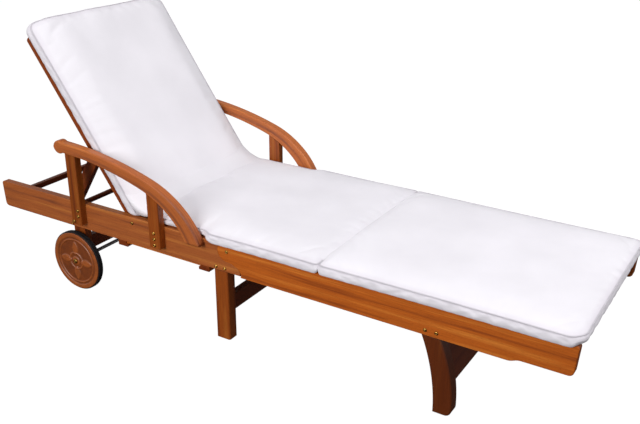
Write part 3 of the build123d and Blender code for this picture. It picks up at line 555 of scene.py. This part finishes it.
shoulder_size = 0.0055
shoulder = np.linspace(0.0, np.pi / 2, 7)
groove_shares, groove_half_share, groove_depth = (0.34, 0.5, 0.66), 0.035, 0.0011
tread_share = np.linspace(0.25, 0.75, 33)
tread_sunk = sum(bump_up(tread_share - place, groove_half_share, groove_depth) for place in groove_shares)
tyre_radii = np.concatenate([[rim_radius], wheel_radius - shoulder_size * (1 - np.sin(shoulder)),
                             wheel_radius - tread_sunk,
                             wheel_radius - shoulder_size * (1 - np.sin(shoulder[::-1])), [rim_radius]])
tyre_depths = np.concatenate([[lip_depth], lip_depth + (shoulder_size - lip_depth) * (1 - np.cos(shoulder)),
                              wheel_width * tread_share,
                              wheel_width - shoulder_size * (1 - np.cos(shoulder[::-1])), [wheel_width]])
tyre_points, _ = turned(tyre_radii, tyre_depths, wheel_steps)

for side, flip in (("right", 1), ("left", -1)):
    for kind, node, slot, grid, finish in (
            ("disc", "wheel_disc_", "wheel_disc", disc_points, disc_tone_and_relief_shade),
            ("tyre", "tyre_", "tyre_rubber", tyre_points, rubber)):
        placed = (grid + (wheel_x, wheel_face, wheel_z)) * (1, flip, 1)
        rows, ring = grid.shape[:2]
        wheel = mesh_piece("wheel_" + kind + "_turned_" + side, placed, tube_faces(rows, ring, True), finish)
        if kind == "disc":
            mark(wheel.data, "relief", disc_relief.ravel())
        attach(wheel, "wheel_" + side)
        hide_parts(node + side)

# Bolts, caps and axle
# Brass bolts with low domed heads and hexagon sockets hold the legs, posts and pivots, most of them with a
# nut inside. Their places are millimetres from the head end and the floor. The axle is a steel rod with
# brass caps.
brass = plain_material("brass_finish", tint(196, 150, 74), 0.3, metallic=1.0, relief=0.00008, worn=0.6)
steel = plain_material("steel_finish", tint(150, 150, 152), 0.35, metallic=1.0, relief=0.00008, worn=0.8)
head_radius, head_height, head_gap = 0.0055, 0.0036, 0.0001
head_rim, head_bevel = 0.0009, 0.0003
socket_radius, socket_depth, socket_roll = 0.0024, 0.0018, 0.00012
nut_radius, nut_length, nut_proud = 0.005, 0.004, 0.0004
thin_shank, thick_shank, thread_share = 0.003, 0.004, 0.9
bolt_steps = 36
rail_face, post_face = -0.312, -0.337
post_places = [(390, 306), (390, 286), (370, 266), (713, 266), (713, 286), (713, 306)]
bolt_sets = [
    ("mid_leg_bolts", "rear_frame", [(929, 243), (961, 243)], rail_face, thin_shank, 0.0382, True),
    ("front_leg_bolts", "foot_section", [(1609, 243), (1641, 243)], rail_face, thin_shank, 0.0382, True),
    ("wheel_leg_bolts", "rear_frame", [(334, 242)], rail_face, thin_shank, 0.0502, True),
    ("arm_post_bolts", "rear_frame", post_places, post_face, thin_shank, 0.0500, False),
    ("fold_pivot_bolts", "rear_frame", [(970, 300)], rail_face, thick_shank, 0.0252, True),
    ("backrest_pivot_bolts", "rear_frame", [(601, 304)], rail_face, thick_shank, 0.0489, True),
]


def bolt_grid(shank, grip, nutted):
    """A bolt about Y, its head at the origin and outwards along -Y. The head is an elliptical dome less a
    hexagon: a step at the radius socket_radius over the cosine of the angle from the nearest side. A nut
    follows after the grip, or the bolt ends there."""
    reach = np.concatenate([[0.0], np.linspace(0.0008, head_radius, 15)])
    grid, angles = turned(reach, np.zeros(len(reach)), bolt_steps)
    dome = head_rim + (head_height - head_rim) * np.sqrt(np.clip(1.0 - (reach / head_radius) ** 2, 0.0, 1.0))
    side = socket_radius * np.cos(np.pi / 6) / np.cos((angles + np.pi / 6) % (np.pi / 3) - np.pi / 6)
    sunk = socket_depth / (1.0 + np.exp((reach[:, None] - side[None, :]) / socket_roll))
    grid[:, :, 1] = -dome[:, None] + sunk
    body = [(head_radius, -head_bevel), (head_radius - head_bevel, 0.0), (shank, 0.0), (shank, grip)]
    end = grip
    if nutted:
        thread, nut_end, end = shank * thread_share, grip + nut_length, grip + nut_length + nut_proud
        body += [(nut_radius, grip), (nut_radius, nut_end), (thread, nut_end), (thread, end)]
    rest, _ = turned(*np.array(body + [(0.0, end)]).T, bolt_steps)
    return np.concatenate([grid, rest])


def bolt_set(node, body, places, face, grid):
    """One bolt on each place, on both sides, as one piece."""
    rows, ring = grid.shape[:2]
    points, faces = [], []
    for flip in (1, -1):
        for x, z in places:
            faces.append(np.array(tube_faces(rows, ring)) + len(points) * rows * ring)
            points.append((grid + (x * mm - centre_x, face - head_gap, z * mm)) * (1, flip, 1))
    piece = mesh_piece(node + "_brass", np.concatenate(points), np.concatenate(faces), brass)
    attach(piece, body)
    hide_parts(node)


for node, body, places, face, shank, grip, nutted in bolt_sets:
    bolt_set(node, body, places, face, bolt_grid(shank, grip, nutted))
finish_boards(["prop_pivot_bolts"], brass)
finish_boards(["wheel_axle", "axle_washers"], steel)

cap_radius, cap_height, cap_face = 0.009, 0.005, -0.3204
cap_flat, cap_bore, cap_lap, cap_steps = 0.0035, 0.006, 0.0004, 48
cap_turn = np.linspace(0.0, np.pi / 2, 10)
cap_dimple = [(0.0, -0.0038), (0.0022, -0.0040), (0.0030, -cap_height)]
cap_dome = np.stack([cap_flat + (cap_radius - cap_flat) * np.sin(cap_turn),
                     -cap_height * np.cos(cap_turn) ** 0.8], 1)
cap_back = [(cap_bore, 0.0), (cap_bore, cap_lap), (0.0, cap_lap)]
cap_grid, _ = turned(*np.concatenate([cap_dimple, cap_dome, cap_back]).T, cap_steps)
cap_grid = cap_grid + (wheel_x, cap_face, wheel_z)
cap_faces = np.array(tube_faces(*cap_grid.shape[:2]))
caps = mesh_piece("hub_caps_brass", np.concatenate([cap_grid, cap_grid * (1, -1, 1)]),
                  np.concatenate([cap_faces, cap_faces + cap_grid.shape[0] * cap_grid.shape[1]]), brass)
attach(caps, "rear_frame")
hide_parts("hub_caps")

# Pads
# Three foam pads in white canvas: each is a top and a bottom panel sewn to a side band, with a welt in
# the upper seam. The panels crown a little, the band bulges between its seams and is drawn into puckers.
# Along every seam the canvas is painted grey as the shade down in the seam, with some dirt in the stitching.
pad_cell = 0.009
pad_top_seam, pad_low_seam, low_seam_reach = 0.0235, 0.0045, 0.012
pad_crown, pad_crown_reach = 0.0130, 0.042
end_dip, end_dip_reach = 0.0040, 0.016
sag_length, sag_depth = 0.19, 0.0010
crease_length, crease_depth, crease_reach = 0.05, 0.0005, 0.05
pad_side_inset, pad_clear = 0.006, 0.0003
band_rows, band_bulge, band_slant = 6, 0.0045, 0.03
pucker_length, pucker_depth = 0.047, 0.0013
crinkle_length, crinkle_depth = 0.021, 0.0005
pad_flare, pad_hang = 0.0040, 0.0100
rail_edge, hang_run = 0.3132, 0.0045
hang_from, hang_blend = 0.303, 0.007
step_x, step_half = -0.104, 0.020
gather_depth, gather_reach = 2.5, 0.022
end_calm = 0.7
# The welt's seam value paints it near the darkest seam grey, as shade; seam_clear is how far from a seam the
# painted shade reaches.
welt_radius, welt_sides, welt_shade, seam_clear = 0.0011, 8, 0.001, 0.02
pad_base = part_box("cushion_leg")[0].z
noise = np.random.default_rng(7)


def waves(x, y, length, count=7):
    """A smooth random field: the mean of sine waves of about the given length in random directions."""
    turns = noise.uniform(0.0, 2.0 * np.pi, (count, 2))
    sizes = noise.uniform(0.75, 1.35, count) * 2.0 * np.pi / length
    field = [np.sin(size * (x * np.cos(a) + y * np.sin(a)) + b) for (a, b), size in zip(turns, sizes)]
    return np.sum(field, axis=0) / np.sqrt(count)


def rounded_corners(ahead, behind, beside, radius_ahead, radius_behind):
    """Turn the square corners of a panel's grid into quarter circles. Inside each corner's square a point
    (p, q) goes to (p sqrt(1 - q²/2), q sqrt(1 - p²/2)), the map from a square to a disc. The arguments are
    distances from the ends and the side. Returns them mapped, and the distance from the outline."""
    edge = np.minimum(np.minimum(ahead, behind), beside)
    for end, radius in ((ahead, radius_ahead), (behind, radius_behind)):
        inside = (end < radius) & (beside < radius)
        p, q = 1.0 - end / radius, 1.0 - beside / radius
        bent_p, bent_q = p * np.sqrt(np.clip(1 - q * q / 2, 0, 1)), q * np.sqrt(np.clip(1 - p * p / 2, 0, 1))
        edge = np.where(inside, radius * (1.0 - np.hypot(bent_p, bent_q)), edge)
        beside = np.where(inside, radius * (1.0 - bent_q), beside)
        end[:] = np.where(inside, radius * (1.0 - bent_p), end)
    return ahead, behind, beside, np.maximum(edge, 0.0)


def crown_share(inward):
    """How much of its crown a panel has at a distance from its side seam."""
    return 1.0 - np.exp(-inward / pad_crown_reach)


def pad_points(start, end, half_width, radii, droop=None, hangs=True):
    """Grids of a pad in its own frame, X along it, Y across and Z up from what it lies on: the two panels
    and the rows of the band between their outlines. The face rises from its side seams by its crown times
    one less the exponential of minus the distance and dips at its ends, and the band swells by a sine
    between its seams. Where the pad is wider than the rails, its lower seam hangs a little over them."""
    across = int(round(2 * half_width(start) / pad_cell))
    along = int(round((end - start) / pad_cell))
    s = np.linspace(start, end, along + 1)[:, None] + np.zeros((1, across + 1))
    t = np.linspace(-1.0, 1.0, across + 1)[None, :] + np.zeros((along + 1, 1))
    width = half_width(s)
    ahead, behind, beside, edge = rounded_corners(s - start, end - s, (1.0 - np.abs(t)) * width, *radii)
    x = np.where(s - start < end - s, start + ahead, end - behind)
    y = np.sign(t) * (half_width(x) - beside)
    y[:, across // 2] *= 0 if across % 2 == 0 else 1
    lift = crown_share(beside)
    from_end = np.minimum(ahead, behind)
    sag = waves(x, y, sag_length) * sag_depth * lift
    sag += waves(x, y, crease_length) * crease_depth * np.exp(-edge / crease_reach) * lift
    rise = pad_crown * lift - end_dip * np.exp(-from_end / end_dip_reach) * np.clip(2.0 * lift, 0.0, 1.0)
    top = np.stack([x, y, pad_top_seam + rise + sag], -1)
    wide_here = np.clip((half_width(x) - hang_from) / hang_blend, 0.0, 1.0) if hangs else 0.0
    low_y = y * (1.0 + pad_flare * wide_here / half_width(x))
    hang = np.clip((np.abs(low_y) - rail_edge) / hang_run, 0.0, 1.0) * wide_here
    low_z = pad_low_seam * np.exp(-edge / low_seam_reach) + pad_clear - pad_hang * hang
    low = np.stack([x, low_y, low_z], -1)
    index = np.arange((along + 1) * (across + 1)).reshape(along + 1, across + 1)
    outline = np.concatenate([index[:-1, 0], index[-1, :-1], index[:0:-1, -1], index[0, :0:-1]])
    upper, lower = top.reshape(-1, 3)[outline], low.reshape(-1, 3)[outline]
    heading = np.roll(upper, -1, 0) - np.roll(upper, 1, 0)
    outward = np.stack([heading[:, 1], -heading[:, 0], 0 * heading[:, 0]], -1)
    outward /= np.linalg.norm(outward, axis=1)[:, None]
    run = np.concatenate([[0.0], np.cumsum(np.linalg.norm(np.diff(upper, axis=0), axis=1))])
    gathered = 1.0 + gather_depth * np.exp(-((upper[:, 0] - step_x) / gather_reach) ** 2)
    calm = 1.0 - end_calm * np.abs(outward[:, 0])
    band = []
    for row in range(1, band_rows):
        share = row / band_rows
        slanted, level_run = run + band_slant * share, run * 0
        pucker = waves(slanted, level_run, pucker_length, 5) * pucker_depth
        pucker += waves(slanted, level_run, crinkle_length, 5) * crinkle_depth
        swell = (band_bulge + pucker * gathered * calm) * np.sin(np.pi * share)
        band.append(upper * (1 - share) + lower * share + swell[:, None] * outward)
    points = np.concatenate([top.reshape(-1, 3), low.reshape(-1, 3), *band])
    size = index.size
    quads = np.stack([index[:-1, :-1], index[1:, :-1], index[1:, 1:], index[:-1, 1:]], -1).reshape(-1, 4)
    rows = [outline] + [2 * size + n * len(outline) + np.arange(len(outline)) for n in range(band_rows - 1)]
    rows.append(outline + size)
    strips = [np.stack([a, b, np.roll(b, -1), np.roll(a, -1)], -1) for a, b in zip(rows, rows[1:])]
    faces = np.concatenate([quads, quads[:, ::-1] + size, *strips])
    # How far each point lies from a seam, for the canvas's painted seam shade; the band's rows count from its
    # nearer seam.
    seam = np.concatenate([edge.ravel(), edge.ravel(),
                           *[np.full(len(outline), min(n, band_rows - n) / band_rows * pad_top_seam)
                             for n in range(1, band_rows)]])
    held = np.zeros(len(points))
    held[size:2 * size] = 1.0
    held[outline] = 1.0
    if droop:
        points = droop(points, np.arange(len(points)) // size == 1)
    return points, faces, seam, held, outline


def canvas():
    """White cotton canvas: two crossed waves a millimetre apart make the weave, noise the slubs, and the
    seam attribute greys the cloth where it goes down into a seam, as painted shade with some dirt in the
    stitching."""
    made, tree, shader = new_material("pad_canvas")
    spot = put(tree, "TexCoord").outputs["Object"]
    seam = put(tree, "Attribute", attribute_name="seam").outputs["Fac"]
    yarn = {"Vector": spot, "Scale": 330.0, "Distortion": 1.2, "Detail Scale": 2.0}
    weft = put(tree, "TexWave", yarn, bands_direction="X").outputs["Fac"]
    warp = put(tree, "TexWave", yarn, bands_direction="Y").outputs["Fac"]
    weave = maths(tree, "MULTIPLY", weft, warp)
    slubs = put(tree, "TexNoise", {"Vector": spot, "Scale": 240.0, "Detail": 3.0}).outputs["Fac"]
    broad = put(tree, "TexNoise", {"Vector": spot, "Scale": 5.0, "Detail": 3.0}).outputs["Fac"]
    base = ramp(tree, broad, [(0.3, tint(226, 223, 228)), (0.7, tint(234, 231, 236))])
    # Painted shade, with some dirt: the cloth greys within a few millimetres of a seam.
    grey = ramp(tree, seam, [(0.0, tint(214, 212, 214)), (0.004, tint(246, 244, 246)),
                             (seam_clear, (1, 1, 1, 1))])
    fine = maths(tree, "MULTIPLY_ADD", slubs, 0.6, weave)
    woven = put(tree, "Bump", {"Strength": 0.25, "Distance": 0.0003, "Height": fine})
    wire(tree, shader, {"Base Color": mixed(tree, 1.0, base, grey, "MULTIPLY"), "Roughness": 0.92,
                        "Specular IOR Level": 0.2, "Sheen Weight": 0.15, "Normal": woven.outputs["Normal"]})
    return made


def inflate(piece, held, cap, pressure=4.0, slack=-0.012):
    """Let the cloth fill out: pressure on panels and band with the seams and the underside held, and a
    little slack for wrinkles. No point may move further than cap, which is reached gently."""
    group = piece.vertex_groups.new(name="held")
    for weight in np.unique(held):
        group.add(np.flatnonzero(held == weight).tolist(), float(weight), "REPLACE")
    rest = coordinates(piece.data)
    cloth = piece.modifiers.new("cloth", "CLOTH")
    settings = cloth.settings
    settings.quality = 5
    settings.mass = 0.25
    settings.tension_stiffness = settings.compression_stiffness = 18.0
    settings.bending_stiffness = 0.6
    settings.use_pressure, settings.uniform_pressure_force = True, pressure
    settings.shrink_min = slack
    settings.vertex_group_mass = "held"
    settings.effector_weights.gravity = 0.0
    cloth.collision_settings.use_collision = False
    for step in range(1, 21):
        scene.frame_set(step)
    shaped = piece.evaluated_get(bpy.context.evaluated_depsgraph_get()).to_mesh()
    shift = coordinates(shaped) - rest
    piece.modifiers.remove(cloth)
    scene.frame_set(1)
    far = np.linalg.norm(shift, axis=1)[:, None]
    shift *= np.where(far > 1e-9, cap * np.tanh(far / cap) / np.maximum(far, 1e-9), 0.0)
    piece.data.vertices.foreach_set("co", (rest + shift).ravel())
    piece.data.update()


def sewn_pad(name, node, start, end, half_width, radii, place=None, droop=None, cap=0.006):
    """Make one pad and its welt. place takes the pad's own frame to the lounger's, droop lowers its sides,
    and cap is how far the cloth may swell."""
    points, faces, seam, held, outline = pad_points(start, end, half_width, radii, droop, not droop)
    mesh = bpy.data.meshes.new(name)
    mesh.from_pydata((place(points) if place else points + (0, 0, pad_base)).tolist(), [], faces.tolist())
    mesh.polygons.foreach_set("use_smooth", np.ones(len(mesh.polygons), bool))
    mesh.materials.append(canvas_white)
    mark(mesh, "seam", seam)
    piece = add(name, mesh)
    inflate(piece, held, cap)
    finer = piece.modifiers.new("finer", "SUBSURF")
    finer.levels = finer.render_levels = 1
    welt = welt_along(name + "_welt", coordinates(mesh)[outline])
    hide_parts(node)
    return piece, welt


def welt_along(name, path):
    """A round cord of cloth sewn into a seam: a ring of points carried round the closed path, in the plane
    across its heading."""
    heading = np.roll(path, -1, 0) - np.roll(path, 1, 0)
    heading /= np.linalg.norm(heading, axis=1)[:, None]
    outward = np.cross(heading, np.cross(path - path.mean(0), heading))
    outward /= np.linalg.norm(outward, axis=1)[:, None]
    over = np.cross(heading, outward)
    angles = np.linspace(0.0, 2.0 * np.pi, welt_sides, endpoint=False)[None, :, None]
    ring = path[:, None] + welt_radius * (np.cos(angles) * outward[:, None] + np.sin(angles) * over[:, None])
    welt = mesh_piece(name, ring, tube_faces(len(path), welt_sides, True), canvas_white)
    # The whole welt gets the seam's dark grey, painted as the shade in the seam.
    mark(welt.data, "seam", np.full(welt_sides * len(path), welt_shade))
    return welt


canvas_white = canvas()
narrow, wide, side_draw = 0.308, 0.325, 0.003
seat_start, crease, foot_end = -0.342, 0.282, 1.004
crease_gap = 0.0008
seat_radii, leg_radii = (0.016, 0.012), (0.012, 0.042)
fold_soft, fold_side = 0.015, 0.035


def seat_half(x):
    """Half width of the seat pad at its seams: narrow between the arms, wide past them, drawn in by 3 mm
    between the corners."""
    share = np.clip((x - step_x + step_half) / (2 * step_half), 0.0, 1.0)
    eased_share = share * share * (3 - 2 * share)
    drawn = side_draw * np.sin(np.pi * np.clip((x - step_x) / (crease - step_x), 0, 1))
    return narrow + (wide - narrow) * eased_share - pad_side_inset - drawn


def leg_half(x):
    """Half width of the leg pad at its seams, drawn in by 3 mm between its corners."""
    drawn = side_draw * np.sin(np.pi * np.clip((x - crease) / (foot_end - crease), 0, 1))
    return wide - pad_side_inset - drawn


seat_pad, seat_welt = sewn_pad("seat_pad", "cushion_seat", seat_start, crease - crease_gap, seat_half,
                               seat_radii)
leg_pad, leg_welt = sewn_pad("leg_pad", "cushion_leg", crease + crease_gap, foot_end, leg_half, leg_radii)
for part in (seat_pad, seat_welt):
    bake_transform(part)
for part in (leg_pad, leg_welt):
    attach(part, "foot_section")


def soften_fold(part):
    """Take the seam's painted grey shade out of the cloth beside the fold, where only a soft dip shows,
    except at the sides, where the seam turns down."""
    from_fold, from_middle, _ = np.abs(coordinates(part.data) - (crease, 0.0, 0.0)).T
    greys = np.zeros(len(from_fold))
    values = part.data.attributes["seam"].data
    values.foreach_get("value", greys)
    soft = (from_fold < fold_soft) & (from_middle < wide - fold_side)
    values.foreach_set("value", np.where(soft, seam_clear, greys))


for part in (seat_pad, seat_welt, leg_pad, leg_welt):
    soften_fold(part)

# Back pad
# It lies on the backrest's slats and is wider than its frame, so that its sides hang down over the side
# rails and leave only a thin line of wood to be seen. Its lower end is cut level with the side rails.
pivot_x, pivot_z = -0.403, 0.304
back_lift = 0.0184
back_start, back_end, back_seam, back_draw = 0.022, 0.688, 0.3025, 0.002
back_cut, back_cut_reach = 0.328, 0.10
back_radii = (0.008, 0.026)
face_droop, under_droop = 0.0160, 0.0260
face_droop_run, under_droop_run = (0.235, 0.304), (0.2868, 0.2962)


def smooth_step(value, low, high):
    """0 below low, 1 above high, and 3t² - 2t³ between them."""
    share = np.clip((value - low) / (high - low), 0.0, 1.0)
    return share * share * (3.0 - 2.0 * share)


def up_backrest(up, across, over):
    """A point given by its reach up the backrest, across it, and over the middle of its rails."""
    x = pivot_x - up * np.cos(rest_tilt) + over * np.sin(rest_tilt)
    z = pivot_z + up * np.sin(rest_tilt) + over * np.cos(rest_tilt)
    return np.stack([x, across, z], -1)


def back_place(points):
    """Turn a pad that was laid out up the backrest to its slope. Near its lower end each point slides down
    or up the slope, so that the end comes to lie level at the height back_cut."""
    up, over = points[:, 0], points[:, 2] + back_lift
    level_up = (back_cut - pivot_z - over * np.cos(rest_tilt)) / np.sin(rest_tilt)
    near = 1.0 - smooth_step(up, back_start, back_start + back_cut_reach)
    return up_backrest(up + near * (level_up - back_start), -points[:, 1], over)


def back_half(x):
    """Half width of the back pad at its seams, drawn in by 2 mm between its corners."""
    return back_seam - back_draw * np.sin(np.pi * np.clip((x - back_start) / (back_end - back_start), 0, 1))


def back_droop(points, underside):
    """Lower the pad's edges with a smooth step in the distance from its middle line: a broad one for the
    face and the band, and a narrow one for the underside, which stays on the slats up to their ends."""
    far = np.abs(points[:, 1])
    face = face_droop * smooth_step(far, *face_droop_run)
    band_share = np.clip((pad_top_seam - points[:, 2]) / (pad_top_seam - pad_low_seam), 0.0, 1.0)
    face = face + (under_droop - face_droop) * band_share * smooth_step(far, *face_droop_run)
    points[:, 2] -= np.where(underside, under_droop * smooth_step(far, *under_droop_run), face)
    return points


back_pad, back_welt = sewn_pad("back_pad", "cushion_back", back_start, back_end, back_half, back_radii,
                               back_place, back_droop)
for part in (back_pad, back_welt):
    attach(part, "backrest")
    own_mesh(part)

# Crease of the pad
# Back and seat are one cover, so a soft fold of the same canvas runs from the back pad's face on to the
# top of the seat and fills the hollow between them.
fold_half, fold_from, fold_to = 0.3010, 0.080, 0.075
fold_tuck, fold_sink = 0.002, 0.0022
fold_low, fold_pull_share, fold_grey = 0.3232, 1.9, 0.05
fold_rows, fold_cells = 16, 66


def fold_points():
    """A closed form along the crease. Its face is a quadratic curve from a point on the back pad's face to
    one on the seat's top, pulled towards the line where the two planes meet, and its underside is one that
    is pulled below them. Both sink by two millimetres into the pads at their ends."""
    y = np.linspace(-fold_half, fold_half, fold_cells + 1)[None, :]
    t = np.linspace(0.0, 1.0, fold_rows + 1)[:, None]
    lift = crown_share(fold_half + fold_tuck - np.abs(y))
    face = back_lift + pad_top_seam + pad_crown * lift - face_droop * smooth_step(np.abs(y), *face_droop_run)
    top = pad_base + pad_top_seam + pad_crown * lift
    meet_up = (top - pivot_z - face * np.cos(rest_tilt)) / np.sin(rest_tilt)
    meet = up_backrest(meet_up, y, face)
    start = up_backrest(meet_up + fold_from, y, face - fold_sink)
    end = meet + np.array([fold_to, 0.0, -fold_sink])
    sunk = meet - np.array([0.0, 0.0, fold_pull_share]) * (meet[..., 2:] - fold_low)
    share = t[..., None]
    over = (1 - share) ** 2 * start + 2 * share * (1 - share) * meet + share ** 2 * end
    under = (1 - share) ** 2 * start + 2 * share * (1 - share) * sunk + share ** 2 * end
    under[..., 2] = np.maximum(under[..., 2], fold_low)
    return over, under


over, under = fold_points()
ring = np.concatenate([over, under[-2:0:-1]]).transpose(1, 0, 2)
fold_ring = ring.shape[1]
fold_faces = tube_faces(fold_cells + 1, fold_ring)
for first in (0, fold_cells * fold_ring):
    around = np.arange(fold_ring) + first
    upper = around[:fold_rows + 1]
    lower = np.concatenate([around[:1], around[:fold_rows:-1], around[fold_rows:fold_rows + 1]])
    fold_faces += np.stack([upper[:-1], upper[1:], lower[1:], lower[:-1]], -1).tolist()
fold_faces = [list(dict.fromkeys(quad)) for quad in fold_faces]
pad_fold = mesh_piece("pad_fold", ring, fold_faces, canvas_white)
# Far from any seam, the fold takes none of the painted seam shade.
mark(pad_fold.data, "seam", np.full(len(pad_fold.data.vertices), fold_grey))
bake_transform(pad_fold)
